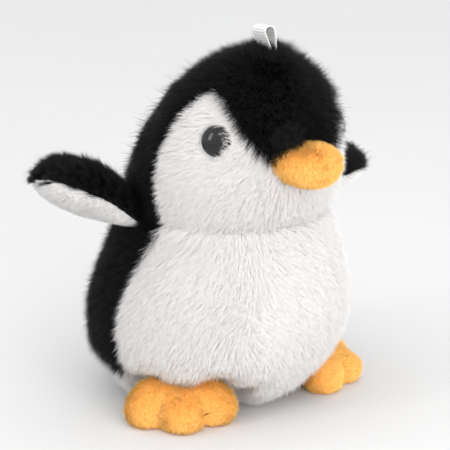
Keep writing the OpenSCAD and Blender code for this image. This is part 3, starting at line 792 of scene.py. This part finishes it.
for src in ("beak_upper", "beak_lower"):
    skin_piece(f"{src}_cloth", src, ORANGE_CLOTH, "body")
    fur_piece(f"{src}_pile", src, flow_beak, ORANGE, "body", "orange_minky", seed=SEED[src],
              cut=0.15, **dict(SHORT, per_mm2=22.0))

# filling: one soft mass inside each stuffed part
for n in NODES:
    if n.endswith("_stuffing"):
        body = "body" if n.startswith(("head", "body", "beak")) else "_".join(n.split("_")[:2])
        o = skin_piece(n.replace("stuffing", "filling"), n, FILL, body, 0)

for side in SIDES:
    NODES[f"eye_washer_{side}"].data.materials.clear()
    NODES[f"eye_washer_{side}"].data.materials.append(WASHER)


# ---- hanging loop --------------------------------------------------------------------
SPLINE_STEPS = 24
TAPE_STEPS = 330
TAPE_THICK = 0.45 * MM
RIB_PITCH = 0.92 * MM
RIB_FLOOR = 0.62
EDGE_FROM = 0.41
# where the tape's thick edges sit on the ribbon's painted shade, from the dark grooves (0) to the lit rib
# tops (1)
EDGE_SHADE = 0.8
# the loop seen along the tape's width: mm to the right and up from the middle of its foot
TAPE_ROUTE = [(-0.5, -1.6), (-0.4, 0.8), (-0.8, 3.0), (-1.9, 5.4), (-3.0, 7.7), (-3.0, 9.2),
              (-1.5, 10.0), (0.1, 9.3), (0.75, 7.4), (1.0, 5.2), (1.1, 3.0), (0.8, 0.8), (0.5, -1.6)]
# half of the tape's section: places across its width and the share of its thickness there
HALF_TAPE = [(0.0, 1), (0.2, 1), (0.42, 0.75), (0.47, 1.0), (0.5, 0.55)]


def spline(points, steps):
    """Catmull-Rom curve through the points, then spaced evenly."""
    before, after = 2 * points[0] - points[1], 2 * points[-1] - points[-2]
    p = np.array([before, *points, after], float)
    out = []
    for i in range(1, len(p) - 2):
        t = np.linspace(0, 1, SPLINE_STEPS, endpoint=False)[:, None]
        a, b, c, d = p[i - 1:i + 3]
        square, cube = 2 * a - 5 * b + 4 * c - d, 3 * b - a - 3 * c + d
        out.append(0.5 * (2 * b + (c - a) * t + square * t ** 2 + cube * t ** 3))
    out = np.concatenate(out + [p[-2:-1]])
    far = np.concatenate([[0], np.cumsum(np.linalg.norm(np.diff(out, axis=0), axis=1))])
    at = np.linspace(0, far[-1], steps)
    return np.stack([np.interp(at, far, out[:, i]) for i in range(out.shape[1])], -1), far[-1]


def ribbon_piece():
    """Ribbed tape folded into a loop: its two legs stand side by side and lean a little."""
    lo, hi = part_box("hanging_loop")
    x0, y0, z0 = (lo[0] + hi[0]) / 2 + 0.5 * MM, (lo[1] + hi[1]) / 2, lo[2]
    wide = hi[1] - lo[1]
    path, total = spline(np.array(TAPE_ROUTE) * MM, TAPE_STEPS)
    ahead = unit(np.gradient(path, axis=0))
    out = np.stack([-ahead[:, 1], ahead[:, 0]], -1)
    phase = np.linspace(0, total / RIB_PITCH, len(path))
    swell = np.abs(np.sin(math.pi * phase)) ** 0.6
    across = [(-u, h) for u, h in reversed(HALF_TAPE[1:])] + HALF_TAPE
    section = [(u, h, 1) for u, h in across] + [(u, h, -1) for u, h in reversed(across)]
    verts, ribs = [], []
    for p, o, w in zip(path, out, swell):
        for u, h, sign in section:
            edge = abs(u) > EDGE_FROM
            half = TAPE_THICK / 2 * h * (1.0 if edge else RIB_FLOOR + (1 - RIB_FLOOR) * w)
            q = p + o * sign * half
            verts.append((x0 + q[0], y0 + u * wide, z0 + q[1]))
            ribs.append(EDGE_SHADE if edge else w)
    m = len(section)
    faces = [tuple(range(m))[::-1], tuple((len(path) - 1) * m + k for k in range(m))]
    for i in range(len(path) - 1):
        for k in range(m):
            a, b = i * m + k, i * m + (k + 1) % m
            faces.append((a, b, b + m, a + m))
    me = bpy.data.meshes.new("ribbon_loop")
    me.from_pydata(verts, [], faces)
    bm = bmesh.new()
    bm.from_mesh(me)
    bmesh.ops.recalc_face_normals(bm, faces=bm.faces)
    bm.to_mesh(me)
    bm.free()
    shade_smooth(me)
    point_values(me, "rib", ribs)
    o = add_piece("ribbon_loop", me, RIBBON, "loop")
    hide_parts("hanging_loop")


ribbon_piece()

# ---- floor and light -------------------------------------------------------------------
FLOOR_HALF = 12
FLOOR_DROP = 0.0001
FLOOR, nt, b = new_material("floor_paper")
paper = ramp(nt, noise(nt, 6, 2.0), [(0.3, (0.625, 0.618, 0.612)), (0.7, (0.635, 0.628, 0.622))])
nt.links.new(paper, b.inputs["Base Color"])
b.inputs["Roughness"].default_value = 0.9
b.inputs["Specular IOR Level"].default_value = 0.1
me = bpy.data.meshes.new("floor")
corners = [(-1, -1), (1, -1), (1, 1), (-1, 1)]
me.from_pydata([(x * FLOOR_HALF, y * FLOOR_HALF, 0) for x, y in corners], [], [(0, 1, 2, 3)])
floor = bpy.data.objects.new("floor", me)
me.materials.append(FLOOR)
floor.location.z = -FLOOR_DROP
scene.collection.objects.link(floor)

world = bpy.data.worlds.new("studio")
scene.world = world
world.use_nodes = True
bg = world.node_tree.nodes["Background"]
bg.inputs["Color"].default_value = (0.97, 0.985, 1.0, 1)
bg.inputs["Strength"].default_value = 1.3


def add_light(name, kind, energy, place, target, **kw):
    data = bpy.data.lights.new(name, kind)
    data.energy = energy
    for k, v in kw.items():
        setattr(data, k, v)
    light = bpy.data.objects.new(name, data)
    scene.collection.objects.link(light)
    light.location = place
    aim(light, target)


LOW_AIM = (0, -0.03, 0.03)
HEAD_AIM = (-0.02, -0.03, 0.09)
add_light("soft_key", "AREA", 2.6, (-0.2, -0.7, 0.75), LOW_AIM, size=0.8, color=(1.0, 0.985, 0.97))
add_light("low_fill", "AREA", 7.0, (-0.2, -0.85, 0.11), LOW_AIM, size=0.55, color=(1.0, 0.98, 0.965))
add_light("window", "AREA", 1.2, (-0.76, 0.0, 0.50), HEAD_AIM, shape="RECTANGLE", size=0.2, size_y=0.4)
